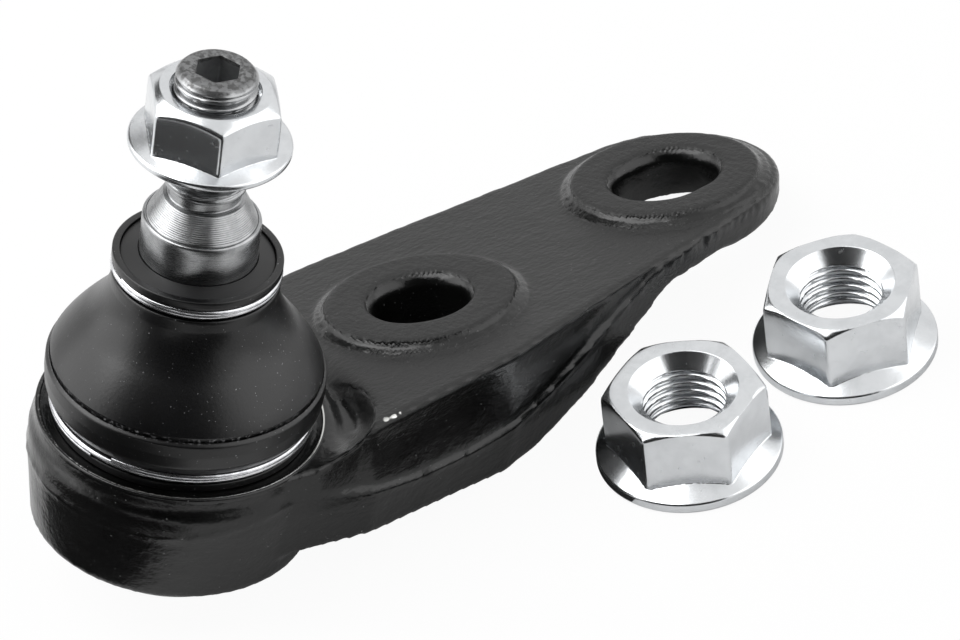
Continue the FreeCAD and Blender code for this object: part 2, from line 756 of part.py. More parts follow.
loose_nuts = []
for place in ("near", "far"):
    nut = flange_nut("loose_nut_" + place, "loose_nut", "<loose_nut_bore_radius>",
                     "<loose_nut_sink_radius>")
    nut.Placement = Placement(
        Vector(size("bench_shift_x") + size(place + "_nut_x"),
               size("bench_shift_y") + size(place + "_nut_y"), 0),
        Rotation(Vector(0, 0, 1), size(place + "_nut_turn_deg")))
    loose_nuts.append(nut)

doc.recompute()
for item in doc.Objects:
    if "Invalid" in item.State or "Error" in item.State:
        raise RuntimeError(item.Label + " failed: " + ", ".join(item.State))
nodes = joint_pieces + loose_nuts
for node in nodes:
    if node.Shape.isNull() or not node.Shape.isValid() or len(node.Shape.Solids) != 1:
        raise RuntimeError(node.Label + " is not one valid solid")
os.makedirs("parts", exist_ok=True)
for node in nodes:
    node.Shape.exportStep("parts/" + node.Label + ".step")
    print(node.Label, round(node.Shape.Volume, 1), node.Shape.BoundBox)
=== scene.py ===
import json
import math

import bmesh
import bpy
import numpy as np
from mathutils import Matrix, Vector, noise
from mathutils.bvhtree import BVHTree
from mathutils.kdtree import KDTree


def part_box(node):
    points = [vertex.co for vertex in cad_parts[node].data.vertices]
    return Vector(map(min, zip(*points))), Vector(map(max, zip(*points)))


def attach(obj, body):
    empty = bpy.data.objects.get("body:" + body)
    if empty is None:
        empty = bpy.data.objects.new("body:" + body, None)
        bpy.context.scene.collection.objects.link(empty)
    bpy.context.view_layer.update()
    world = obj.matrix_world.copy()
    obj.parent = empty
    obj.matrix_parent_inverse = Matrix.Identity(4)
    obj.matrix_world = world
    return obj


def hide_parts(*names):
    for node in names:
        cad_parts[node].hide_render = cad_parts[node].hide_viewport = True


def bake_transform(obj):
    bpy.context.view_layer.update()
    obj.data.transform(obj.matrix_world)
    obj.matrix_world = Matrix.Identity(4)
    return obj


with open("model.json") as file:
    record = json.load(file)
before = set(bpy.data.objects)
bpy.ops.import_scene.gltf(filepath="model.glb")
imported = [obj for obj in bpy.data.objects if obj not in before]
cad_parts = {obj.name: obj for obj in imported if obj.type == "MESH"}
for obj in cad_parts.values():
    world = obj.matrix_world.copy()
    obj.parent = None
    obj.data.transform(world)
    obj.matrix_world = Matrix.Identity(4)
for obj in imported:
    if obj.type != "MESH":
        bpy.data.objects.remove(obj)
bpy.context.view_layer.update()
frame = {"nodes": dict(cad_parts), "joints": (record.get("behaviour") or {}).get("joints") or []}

# Forging: the ball housing and its arm are one drop forging of steel. The dies leave a ragged
# ridge round its sides. The bosses and the housing's rim are machined, and satin black paint
# covers all of it but the rim's sharp edge.
MM = 0.001
BALL_DEPTH = 8.5
ARM_HEIGHT = -3.2
ARM_RISE = 3.9
ARM_ROLL = 16.5
BOSS_HEIGHT = 1.7
EYE_RADIUS = 23.0
PAINT = (0.0020, 0.0021, 0.0020)
PAINT_MOTTLED = (0.0042, 0.0044, 0.0042)
PAINT_DUST = (0.12, 0.12, 0.12)
BARE_STEEL = (0.62, 0.62, 0.60)
SKIN_VOXEL = 0.00051
SKIN_WAVE = 0.05
SKIN_WAVE_SIZE = 5.0
SKIN_SMOOTHING = 4
# The ridge's route round the forging: a place on the middle line, the side it is on, its
# height and its thickness there
RIDGE_ROUTE = (
    (0, 90, -9.2, 0.45), (0, 180, -9.0, 0.45), (0, 235, -8.6, 0.45), (2, 262, -6.6, 0.45),
    (5, 270, -6.4, 0.5), (17.8, 270, -8.3, 0.5), (25.6, 270, -9.3, 0.5), (36, 270, -9.1, 0.5),
    (45.4, 270, -7.7, 0.55), (52, 270, -5.8, 0.55), (58.6, 270, -3.1, 0.5), (69.5, 270, 2.2, 0.45),
    (74, 270, 4.2, 0.45), (84, 270, 5.2, 0.45), (96.6, 270, 5.7, 0.45), (96.6, 360, -1.0, 0.45),
    (96.6, 450, -4.3, 0.45), (60, 450, -8.6, 0.45), (44, 450, -10.0, 0.45), (30, 450, -10.6, 0.45),
    (14, 450, -9.6, 0.45), (0, 450, -9.2, 0.45))
RIDGE_STEP = 0.6
RIDGE_SIDES = 8
RIDGE_SINK = 0.15
RIDGE_WANDER = 0.25
# The near wall's hollow: how deep it is, and how fully it is sunk at places along the arm
NEAR_SIDE = 270
HOLLOW_DEPTH = 1.25
HOLLOW_ENDS = ((8, 0), (14, 0.9), (27, 1), (62, 1), (76, 0.2), (84, 0))
# A gully between the housing's rim and the arm's upper face runs out into the hollow
GULLY = ((23.4, -1.0), (22.6, -4.5), (21.8, -8.6), (19.6, -14.6), (17.0, -19.0), (14.6, -22.6),
         (13.4, -26.0))
GULLY_STEPS = 60
GULLY_WIDTH = 2.3
GULLY_DEPTH = 1.7
# The trimming tool's notches, and how fully they are cut at places along the arm
NOTCH_PITCH = 1.7
NOTCH_DEPTH = 0.45
NOTCH_DROP = 1.4
NOTCH_ENDS = ((72, 0), (78, 0.6), (86, 1), (98, 1), (103, 0))
EDGE_ROUND = 1.5
# The holes' places along the arm, each with half the length of its slot
HOLES = ((46.0, 0.0), (95.6, 1.0))
HOLE_STRIP = 9.5
PAST_HOLES = 106
HOLE_RADIUS = 7.15
HOLE_ROUND = 2.2
BOSS_RADIUS = 15.1
BOSS_FOOT = 15.8
BOSS_ROUND = 1.5
FOOT_ROUND = 1.1
# Places where the paint is chipped off the arm's edge, each with its size
CHIPS = ((19.0, -23.1, 2.9, 0.8), (20.4, -23.2, 3.2, 0.6), (21.6, -23.2, 3.4, 0.4))
RIM_EDGE = 20.7
RIM_TOP = -1.98
RIM_WORN_SIDE = -44
RIM_STEPS = 180
SKIN_GRAIN = 0.22
SPOTFACE = -2.38
BOOT_SEAT = 16.9

hinges = {joint["name"]: joint for joint in frame["joints"]}
stud_axis = Vector(hinges["stud_swivel"]["axis"]).normalized()
arm_axis = Vector(hinges["rock_across_arm"]["axis"]).normalized()
side_axis = stud_axis.cross(arm_axis)
joint_turn = Matrix((arm_axis, side_axis, stud_axis)).transposed().to_4x4()
joint_origin = Vector(hinges["stud_swivel"]["pos_m"]) + stud_axis * BALL_DEPTH * MM
joint_place = Matrix.Translation(joint_origin) @ joint_turn @ Matrix.Scale(MM, 4)
arm_place = (Matrix.Translation((0, 0, ARM_HEIGHT))
             @ Matrix.Rotation(-math.radians(ARM_RISE), 4, "Y")
             @ Matrix.Rotation(-math.radians(ARM_ROLL), 4, "X"))


class Signal:
    """A socket that takes part in sums."""

    def __init__(self, tree, socket):
        self.tree = tree
        self.socket = socket

    def worked(self, operation, *terms):
        node = self.tree.nodes.new("ShaderNodeMath")
        node.operation = operation
        for slot, term in zip(node.inputs, terms):
            if isinstance(term, Signal):
                self.tree.links.new(term.socket, slot)
            else:
                slot.default_value = term
        return Signal(self.tree, node.outputs[0])

    def __add__(self, other):
        return self.worked("ADD", self, other)

    def __sub__(self, other):
        return self.worked("SUBTRACT", self, other)

    def __rsub__(self, other):
        return self.worked("SUBTRACT", other, self)

    def __mul__(self, other):
        return self.worked("MULTIPLY", self, other)

    def __truediv__(self, other):
        return self.worked("DIVIDE", self, other)

    def __abs__(self):
        return self.worked("ABSOLUTE", self)

    __radd__ = __add__
    __rmul__ = __mul__

    def step(self, low, high):
        """0 on the low side and 1 on the high side, with a soft rise between them."""
        return Nodes(self.tree).add(
            "ShaderNodeMapRange", {"interpolation_type": "SMOOTHSTEP"},
            Value=self, From_Min=low, From_Max=high)


class Nodes:
    """Adds nodes to a tree."""

    def __init__(self, tree):
        self.tree = tree

    def add(self, kind, settings=None, output=0, **sockets):
        """A node with its settings, then its sockets by name, or as slot0, slot1 and so on."""
        node = self.tree.nodes.new(kind)
        for name, value in (settings or {}).items():
            setattr(node, name, value)
        for name, value in sockets.items():
            if name.startswith("slot"):
                socket = node.inputs[int(name[4:])]
            else:
                socket = node.inputs[name.replace("_", " ")]
            if isinstance(value, Signal):
                self.tree.links.new(value.socket, socket)
            else:
                socket.default_value = value
        return Signal(self.tree, node.outputs[output])

    def vector(self, operation, first, second=(0, 0, 0), output=0):
        return self.add("ShaderNodeVectorMath", {"operation": operation}, output,
                        slot0=first, slot1=second)


class Finish(Nodes):
    """A material: one Principled shader, patterned on the object's coordinates."""

    def __init__(self, name, **constants):
        self.material = bpy.data.materials.new(name)
        self.material.use_nodes = True
        super().__init__(self.material.node_tree)
        self.shader = self.tree.nodes["Principled BSDF"]
        for socket, value in constants.items():
            self.shader.inputs[socket.replace("_", " ")].default_value = value
        self.spot = self.add("ShaderNodeTexCoord", output=3)
        self.from_joint = self.vector("SUBTRACT", self.spot, tuple(joint_origin))

    def height(self):
        """Height up the stud's axis in millimetres."""
        return self.vector("DOT_PRODUCT", self.from_joint, tuple(stud_axis / MM), output=1)

    def radius(self):
        """Distance from the stud's axis in millimetres."""
        arm = self.vector("CROSS_PRODUCT", self.from_joint, tuple(stud_axis / MM))
        return self.vector("LENGTH", arm, output=1)

    def side(self, degrees):
        """How far towards this side of the stud a point lies, in millimetres."""
        turn = math.radians(degrees)
        way = arm_axis * math.cos(turn) + side_axis * math.sin(turn)
        return self.vector("DOT_PRODUCT", self.from_joint, tuple(way / MM), output=1)

    def noise(self, size, detail=3.0, roughness=0.55, stretch=(1, 1, 1)):
        """Noise with blotches of this size in millimetres, stretched along the joint's axes."""
        back = joint_turn.inverted().to_euler()
        turned = self.add("ShaderNodeMapping", Vector=self.from_joint, Rotation=tuple(back))
        scaled = self.add("ShaderNodeMapping", Vector=turned,
                          Scale=tuple(1 / (size * MM * part) for part in stretch))
        return self.add("ShaderNodeTexNoise", Vector=scaled, Scale=1.0, Detail=detail,
                        Roughness=roughness)

    def mix(self, factor, first, second):
        first, second = (colour if isinstance(colour, Signal) else (*colour, 1)
                         for colour in (first, second))
        return self.add("ShaderNodeMix", {"data_type": "RGBA"}, output=2, slot0=factor,
                        slot6=first, slot7=second)

    def mark(self, name):
        """A value that is painted on the mesh's points."""
        return self.add("ShaderNodeAttribute", {"attribute_name": name}, output=2)

    def feed(self, **signals):
        for socket, signal in signals.items():
            self.tree.links.new(signal.socket, self.shader.inputs[socket.replace("_", " ")])

    def bump(self, height, rise):
        """Lifts the surface by this many millimetres where the height signal is 1."""
        self.feed(Normal=self.add("ShaderNodeBump", Height=height, Strength=1.0,
                                  Distance=rise * MM))


def outline(points, spacing):
    """Rings of (radius, height) through corners that may each carry a rounding radius."""
    flat = [Vector(point[:2]) for point in points]
    path = []
    for index, point in enumerate(points):
        here = flat[index]
        if len(point) == 2:
            path.append(here)
            continue
        back = (flat[index - 1] - here).normalized()
        ahead = (flat[(index + 1) % len(points)] - here).normalized()
        half = back.angle(ahead) / 2
        centre = here + (back + ahead).normalized() * point[2] / math.sin(half)
        start = here + back * point[2] / math.tan(half) - centre
        sweep = math.pi - 2 * half
        sense = 1 if back.cross(ahead) < 0 else -1
        bits = max(3, int(sweep * point[2] / spacing) + 1)
        path += [centre + Matrix.Rotation(sense * sweep * bit / bits, 2) @ start
                 for bit in range(bits + 1)]
    rings = [path[0]]
    for here in path[1:]:
        start = rings[-1]
        gap = (here - start).length
        bits = max(1, round(gap / spacing))
        rings += [start.lerp(here, (bit + 1) / bits) for bit in range(bits) if gap > 1e-6]
    return [tuple(ring) for ring in rings]


def turned(name, rings, steps):
    """A closed mesh from rings of (radius, height). A radius may be a list round the ring."""
    angles = np.arange(steps) * 2 * math.pi / steps
    points = []
    rows = []
    for radius, height in rings:
        pole = np.ndim(radius) == 0 and radius < 1e-6
        count = 1 if pole else steps
        rows.append([len(points) + (0 if pole else k) for k in range(steps)])
        spread = np.broadcast_to(radius, steps)[:count]
        points += list(zip(spread * np.cos(angles[:count]), spread * np.sin(angles[:count]),
                           np.full(count, height)))
    poles = rows[0][0] == rows[0][1] and rows[-1][0] == rows[-1][1]
    faces = []
    for low in range(len(rows) - 1 if poles else len(rows)):
        first, second = rows[low], rows[(low + 1) % len(rows)]
        for k in range(steps):
            after = (k + 1) % steps
            corners = (first[k], first[after], second[after], second[k])
            faces.append([c for n, c in enumerate(corners) if c != corners[n - 1]])
    mesh = bpy.data.meshes.new(name)
    mesh.from_pydata(points, [], faces)
    shell = bmesh.new()
    shell.from_mesh(mesh)
    bmesh.ops.recalc_face_normals(shell, faces=shell.faces)
    shell.to_mesh(mesh)
    shell.free()
    mesh.shade_smooth()
    mesh.set_sharp_from_angle(angle=math.radians(32))
    return mesh


def reshaped(mesh, *modifiers):
    """The plain mesh after these modifiers: each is a kind and its settings."""
    thing = bpy.data.objects.new("unfinished", mesh)
    bpy.context.scene.collection.objects.link(thing)
    for kind, settings in modifiers:
        modifier = thing.modifiers.new(kind, kind)
        for name, value in settings.items():
            if name.startswith("Socket_"):
                modifier[name] = value
            else:
                setattr(modifier, name, value)
    bpy.context.view_layer.update()
    graph = bpy.context.evaluated_depsgraph_get()
    result = bpy.data.meshes.new_from_object(thing.evaluated_get(graph))
    bpy.data.objects.remove(thing)
    return result


def fitted(name, mesh, finish, body=None, stands_for=(), place=joint_place):
    """A finished piece: its mesh laid in place, its finish, its body and what it stands for."""
    mesh.transform(place)
    mesh.materials.clear()
    mesh.materials.append(finish.material)
    thing = bpy.data.objects.new(name, mesh)
    bpy.context.scene.collection.objects.link(thing)
    if body:
        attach(thing, body)
    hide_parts(*stands_for)
    return thing


def ridge_path(shell):
    """Places on the forging's sides that the ridge passes, with its thickness there."""
    surface = BVHTree.FromBMesh(shell)
    path = []
    for here, ahead in zip(RIDGE_ROUTE, RIDGE_ROUTE[1:]):
        run = math.hypot(ahead[0] - here[0], math.radians(ahead[1] - here[1]) * 20)
        bits = max(1, round(run / RIDGE_STEP))
        for bit in range(bits):
            middle, side, height, radius = Vector(here).lerp(Vector(ahead), bit / bits)
            rough = noise.noise(Vector((middle * 0.8, side * 0.25, height)))
            turn = math.radians(side)
            way = Vector((math.cos(turn), math.sin(turn), 0))
            target = Vector((middle, 0, height + RIDGE_WANDER * rough))
            start = joint_place @ (target + way * 60)
            hit = surface.ray_cast(start, (joint_place @ target - start).normalized())[0]
            if hit is not None:
                path.append((joint_place.inverted() @ hit - way * RIDGE_SINK,
                             radius * (0.9 + 0.4 * rough)))
    return path


def add_ridge(shell, path):
    """A closed bead along the path, joined to the forging when its skin is renewed."""
    turns = [2 * math.pi * k / RIDGE_SIDES for k in range(RIDGE_SIDES)]
    rings = []
    for index, (centre, radius) in enumerate(path):
        forward = (path[(index + 1) % len(path)][0] - path[index - 1][0]).normalized()
        across = forward.cross(Vector((0, 0, 1))).normalized()
        up = across.cross(forward)
        rings.append([shell.verts.new(joint_place @ (
            centre + (across * math.cos(t) + up * math.sin(t)) * radius)) for t in turns])
    for first, second in zip(rings, rings[1:] + rings[:1]):
        for k in range(RIDGE_SIDES):
            after = (k + 1) % RIDGE_SIDES
            shell.faces.new((first[k], second[k], second[after], first[after]))


def point_vectors(source, field):
    """A vector for each point of the forging, as an array."""
    values = np.empty(len(source) * 3)
    source.foreach_get(field, values)
    return values.reshape(-1, 3)


def ramp(values, low, high):
    """0 up to the low value and 1 from the high one, and even between them."""
    return np.clip((values - low) / (high - low), 0, 1)


forging = frame["nodes"]["forged_housing_arm"].data.copy()
shell = bmesh.new()
shell.from_mesh(forging)
bmesh.ops.remove_doubles(shell, verts=shell.verts, dist=2e-6)
add_ridge(shell, ridge_path(shell))
shell.to_mesh(forging)
shell.free()
forging = reshaped(forging, ("REMESH", {"mode": "VOXEL", "voxel_size": SKIN_VOXEL,
                                         "use_smooth_shade": True}))

points = point_vectors(forging.vertices, "co")
normals = point_vectors(forging.vertex_normals, "vector")
to_joint = np.array(joint_place.inverted())
spots = points @ to_joint[:3, :3].T + to_joint[:3, 3]
facing = normals @ np.array(joint_turn)[:3, :3]
to_arm = np.array(arm_place.inverted())
on_arm = spots @ to_arm[:3, :3].T + to_arm[:3, 3]
arm_turn = np.array(arm_place)[:3, :3]
arm_up = arm_turn[:, 2]
upward = facing @ arm_up
under_edge = -BOSS_HEIGHT - on_arm[:, 2]
from_stud = np.hypot(spots[:, 0], spots[:, 1])
off_holes = (np.abs(spots[:, 1]) > HOLE_STRIP) | (spots[:, 0] > PAST_HOLES)

# The arm's upper edge is well rounded by the die. Each point beside that edge is drawn back to
# the rounding, whose middle lies this far in and this far down.
brim = np.flatnonzero((np.abs(upward) < 0.5) & (under_edge > 0.3) & (under_edge < 1.3)
                      & (from_stud > EYE_RADIUS) & off_holes)
brim_tree = KDTree(len(brim))
for index in brim:
    brim_tree.insert(spots[index], index)
brim_tree.balance()
drawn = np.zeros_like(spots)
for index in np.flatnonzero((under_edge > -0.3) & (under_edge < EDGE_ROUND + 0.3)
                            & (from_stud > EYE_RADIUS - 1)):
    nearest, wall, gap = brim_tree.find(spots[index])
    out = facing[wall] - arm_up * (facing[wall] @ arm_up)
    out /= np.linalg.norm(out)
    aside = EDGE_ROUND - (np.array(nearest) - spots[index]) @ out
    above = EDGE_ROUND - under_edge[index]
    reach = math.hypot(aside, above)
    if gap < 2 * EDGE_ROUND and aside > 0 and above > 0 and reach > EDGE_ROUND:
        drawn[index] = (aside * out + above * arm_up) * (EDGE_ROUND / reach - 1)

# The bosses' edges, their feet and the edges of their holes are rounded too. Sense is 1 where
# the metal lies inside the edge's circle, and a foot is a hollow corner.
for hole_x, half_slot in HOLES:
    from_boss = on_arm[:, 0] - hole_x
    from_slot = from_boss - np.clip(from_boss, -half_slot, half_slot)
    for from_middle, corner, level, size, sense, rise in (
            (from_boss, BOSS_RADIUS, 0, BOSS_ROUND, 1, 1),
            (from_slot, HOLE_RADIUS, 0, HOLE_ROUND, -1, 1),
            (from_boss, BOSS_FOOT, -BOSS_HEIGHT, FOOT_ROUND, -1, -1)):
        away = np.maximum(np.hypot(from_middle, on_arm[:, 1]), 1e-6)
        aside = size - sense * (corner - away)
        above = size + rise * (on_arm[:, 2] - level)
        reach = np.maximum(np.hypot(aside, above), 1e-6)
        in_corner = (aside > 0) & (above > 0) & (reach > size) & (reach < size * 1.7)
        in_corner &= (aside < size * 1.3) & (above < size * 1.3)
        outward = np.column_stack([from_middle, on_arm[:, 1]]) / away[:, None] @ arm_turn[:, :2].T
        offset = sense * aside[:, None] * outward + rise * above[:, None] * arm_up
        drawn += in_corner[:, None] * offset * (size / reach - 1)[:, None]

# The wall between the arm's near edge and the ridge is hollowed, deepest under the edge
near_wall = ramp(-facing[:, 1], 0.35, 0.65) * (spots[:, 1] < -HOLE_STRIP)
near_ridge = [stop for stop in RIDGE_ROUTE if stop[1] == NEAR_SIDE]
over_ridge = spots[:, 2] - np.interp(spots[:, 0], [stop[0] for stop in near_ridge],
                                     [stop[2] for stop in near_ridge])
share = np.clip(over_ridge / np.maximum(over_ridge + under_edge, 0.1), 0, 1)
hollow = ramp(share, 0, 0.04) * (1 - share) * (0.35 + 2.6 * share)
hollow *= (over_ridge > 0) * (under_edge > 0) * np.interp(spots[:, 0], *zip(*HOLLOW_ENDS))

# The die's trimming tool left unequal notches along the thin end of that edge
unequal = np.array([noise.noise(Vector((spot[0] / 2.5, 0, 0))) for spot in spots])
notches = np.clip(np.sin((spots[:, 0] + unequal) * 2 * math.pi / NOTCH_PITCH) + unequal, 0, 1)
notches *= np.clip(1.3 - np.abs(under_edge - NOTCH_DROP), 0, 1)
notches *= np.interp(spots[:, 0], *zip(*NOTCH_ENDS))

gully_stops = np.linspace(0, len(GULLY) - 1, GULLY_STEPS)
gully_line = np.column_stack([np.interp(gully_stops, range(len(GULLY)), places)
                              for places in zip(*GULLY)])
from_gully = np.full(len(spots), np.inf)
for stop in gully_line:
    from_gully = np.minimum(from_gully, np.hypot(*(spots[:, :2] - stop).T))
gully = np.exp(-(from_gully / GULLY_WIDTH) ** 2) * ramp(from_stud, 21.6, 23.1)
gully *= ramp(upward, 0.2, 0.6) * ramp(spots[:, 1], -22, -17)

wave = np.array([noise.fractal(Vector(spot) / SKIN_WAVE_SIZE, 0.6, 2.0, 3) for spot in spots])
push = wave * SKIN_WAVE - near_wall * (hollow * HOLLOW_DEPTH + notches * NOTCH_DEPTH)
push -= gully * GULLY_DEPTH
points += normals * (push * MM)[:, None] + drawn @ np.array(joint_turn)[:3, :3].T * MM
forging.vertices.foreach_set("co", points.ravel())
forging = reshaped(forging, ("SMOOTH", {"factor": 0.5, "iterations": SKIN_SMOOTHING}))

grainy = ramp(upward, 0.90, 0.97) * (under_edge < 0.9) * (from_stud > EYE_RADIUS)
pressed = grainy * ramp(-under_edge, 1.2, 1.5)
chipped = sum(np.exp(-np.sum((spots - chip[:3]) ** 2, axis=1) / chip[3] ** 2) for chip in CHIPS)
for mark, values in (("grainy", grainy), ("pressed", pressed), ("chipped", chipped)):
    layer = forging.attributes.new(mark, "FLOAT", "POINT")
    layer.data.foreach_set("value", np.clip(values, 0, 1).astype(np.float32))

paint = Finish("arm_paint", IOR=1.46)
skin = paint.noise(0.75, 4.0, 0.62)
ripple = paint.noise(2.0, 3.0, 0.5, (1.0, 0.45, 0.45))
mottle = paint.noise(9.0, 3.0, 0.5)
rough_skin = paint.mark("grainy")
pressed_face = paint.mark("pressed")
wrinkle = paint.noise(1.3, 3.0, 0.55, (0.7, 1.5, 1.0))
specks = paint.noise(0.35, 1.0, 0.3).step(0.77, 0.80)
rim = (paint.height().step(RIM_TOP - 0.16, RIM_TOP - 0.04)
       * paint.radius().step(RIM_EDGE - 0.10, RIM_EDGE - 0.02)
       * (1 - paint.radius().step(RIM_EDGE + 0.16, RIM_EDGE + 0.28)))
rim = rim * (paint.side(RIM_WORN_SIDE) * 0.015 + paint.noise(0.9, 3.0, 0.6)).step(0.22, 0.52)
bare = rim + (paint.mark("chipped") + skin * 0.5).step(0.70, 0.95) * (1 - rim)
coated = paint.mix(specks, paint.mix(mottle.step(0.35, 0.7), PAINT, PAINT_MOTTLED), PAINT_DUST)
paint.feed(Base_Color=paint.mix(bare, coated, BARE_STEEL), Metallic=bare,
           Roughness=0.16 + rough_skin * 0.25 + pressed_face * 0.12 + mottle * 0.10)
paint.bump(skin * (0.25 + rough_skin * 0.4) + ripple * (0.2 + rough_skin * 0.5)
           + wrinkle * pressed_face * 1.6, SKIN_GRAIN)

fitted("forged_eye_and_arm", forging, paint, "housing", ["forged_housing_arm"],
       Matrix.Identity(4))
rim_ring = outline([
    (BOOT_SEAT, SPOTFACE - 1.2), (RIM_EDGE + 0.5, SPOTFACE - 1.2), (RIM_EDGE + 0.62, RIM_TOP, 0.3),
    (RIM_EDGE, RIM_TOP, 0.06), (RIM_EDGE - 0.35, SPOTFACE, 0.1), (BOOT_SEAT, SPOTFACE)], 0.3)
fitted("machined_rim", turned("machined_rim", rim_ring, RIM_STEPS), paint, "housing")


# Ball seat and cover: a moulded acetal seat holds the ball, and a pressed steel cover is
# rolled into the housing from below.
SEAT_COLOUR = (0.80, 0.79, 0.72)
COVER_COLOUR = (0.42, 0.42, 0.42)
COVER_STAIN = (0.30, 0.30, 0.31)


def dress(node, finish):
    """Gives a hidden piece its finish as it stands."""
    piece = frame["nodes"][node]
    piece.data.materials.clear()
    piece.data.materials.append(finish.material)


seat_plastic = Finish("seat_plastic", Base_Color=(*SEAT_COLOUR, 1), Roughness=0.45)
dress("ball_seat", seat_plastic)

cover_steel = Finish("cover_steel", Metallic=1.0)
stain = cover_steel.noise(5.0, 4.0, 0.6)
cover_steel.feed(Base_Color=cover_steel.mix(stain.step(0.4, 0.7), COVER_COLOUR, COVER_STAIN),
                 Roughness=0.34 + stain * 0.2)
dress("pressed_cover", cover_steel)


# Ball stud: forged and turned from one bar. Its ball sits in the housing, and above the boot
# come the sealing shank, a shoulder cone with tool rings, an undercut and a rolled thread.
STUD_COLOUR = (0.38, 0.385, 0.39)
STUD_STAIN = (0.27, 0.275, 0.28)
STUD_END = (0.10, 0.10, 0.10)
STUD_STEPS = 144
BALL_RADIUS = 13.5
BALL_NECK_ANGLE = 150
BALL_FLAT_ANGLE = 21.8
# Corners of the stud's outline: radius, height and, for a rounded one, its radius
SHANK = ((6.75, 4.0), (6.75, 18.0, 2.0), (8.6, 23.0, 1.0), (8.6, 32.9, 0.45), (8.05, 33.05, 0.1))
CONE_BOTTOM = (7.95, 33.1)
CONE_TOP = (5.95, 36.85)
UNDERCUT = ((5.3, 37.1, 0.2), (5.3, 38.4, 0.1))
STUD_TOP = 58.4
END_CHAMFER = ((5.95, 57.2), (5.2, 58.05, 0.5), (4.0, 58.35, 0.8), (3.62, STUD_TOP))
TOOL_RINGS = 14
TOOL_RING_DEPTH = 0.07
THREAD_RADIUS = 5.95
THREAD_PITCH = 1.5
THREAD_DEPTH = 0.85
THREAD_BOTTOM = 39.2
THREAD_TOP = 57.4
THREAD_FADE = 0.8
SOCKET_FLATS = 6.0
SOCKET_CORNER = 0.15
SOCKET_DEPTH = 7.0
SOCKET_TURN = 43.7


def hexagon_radii(flats, corner, turn, steps):
    """Distances from the middle to a hexagon's outline with rounded corners."""
    angles = np.degrees(np.arange(steps) * 2 * math.pi / steps) - turn
    off_flat = np.radians((angles % 60) - 30)
    off_corner = math.radians(30) - np.abs(off_flat)
    arc_centre = (flats / 2 - corner) / math.cos(math.radians(30))
    inside = np.maximum(corner ** 2 - (arc_centre * np.sin(off_corner)) ** 2, 0)
    arc = arc_centre * np.cos(off_corner) + np.sqrt(inside)
    straight = flats / 2 / np.cos(off_flat)
    return np.where(arc_centre * np.sin(off_corner) < corner / 2, np.minimum(arc, straight),
                    straight)


def started_tree(name, *sizes):
    """A geometry tree with inputs for these sizes, its inputs' signals and their identifiers."""
    tree = bpy.data.node_groups.new(name, "GeometryNodeTree")
    kinds = {"Geometry": "NodeSocketGeometry", **{size: "NodeSocketFloat" for size in sizes},
             "Material": "NodeSocketMaterial"}
    keys = {label: tree.interface.new_socket(label, in_out="INPUT", socket_type=kind).identifier
            for label, kind in kinds.items()}
    tree.interface.new_socket("Geometry", in_out="OUTPUT", socket_type="NodeSocketGeometry")
    entry = tree.nodes.new("NodeGroupInput")
    return tree, {label: Signal(tree, entry.outputs[label]) for label in kinds}, keys


def end_tree(tree, shape, material):
    """Realizes the shape, gives it its material and passes it on."""
    nodes = Nodes(tree)
    real = nodes.add("GeometryNodeRealizeInstances", Geometry=shape)
    done = nodes.add("GeometryNodeSetMaterial", Geometry=real, Material=material)
    way_out = tree.nodes.new("NodeGroupOutput")
    tree.links.new(done.socket, way_out.inputs["Geometry"])


def grown(mesh, tree, keys, finish, **sizes):
    """The plain mesh that a tree makes of this one with these sizes."""
    settings = {"node_group": tree, keys["Material"]: finish.material}
    settings.update({keys[label.replace("_", " ")]: float(size) for label, size in sizes.items()})
    return reshaped(mesh, ("NODES", settings))


def thread_cutter():
    """A tree that cuts a helical thread into the part of a turned mesh at one radius."""
    tree, given, keys = started_tree("thread_cutter", "Radius", "Depth", "Pitch", "Bottom", "Top")
    nodes = Nodes(tree)
    place = nodes.add("GeometryNodeInputPosition")
    x, y, height = (nodes.add("ShaderNodeSeparateXYZ", output=k, Vector=place) for k in range(3))
    across = nodes.add("ShaderNodeCombineXYZ", X=x, Y=y)
    radius = nodes.vector("LENGTH", across, output=1)
    turn = height.worked("ARCTAN2", y, x) / (2 * math.pi)
    phase = height.worked("FRACT", height / given["Pitch"] - turn)
    groove = 1 - abs(phase - 0.5).step(0.06, 0.44)
    near = 1 - abs(radius - given["Radius"]).step(0.02, 0.06)
    runs = ((height - given["Bottom"]) / THREAD_FADE).step(0.0, 1.0) * (
        (given["Top"] - height) / THREAD_FADE).step(0.0, 1.0)
    push = groove * near * runs * given["Depth"] * -1
    offset = nodes.add("ShaderNodeVectorMath", {"operation": "SCALE"},
                       slot0=nodes.vector("NORMALIZE", across), slot3=push)
    cut = nodes.add("GeometryNodeSetPosition", Geometry=given["Geometry"], Offset=offset)
    end_tree(tree, cut, given["Material"])
    return tree, keys


cutter, cutter_keys = thread_cutter()


def threaded(mesh, finish, **sizes):
    """The mesh with a thread cut into it."""
    mesh = grown(mesh, cutter, cutter_keys, finish, **sizes)
    mesh.shade_smooth()
    mesh.set_sharp_from_angle(angle=math.radians(40))
    return mesh


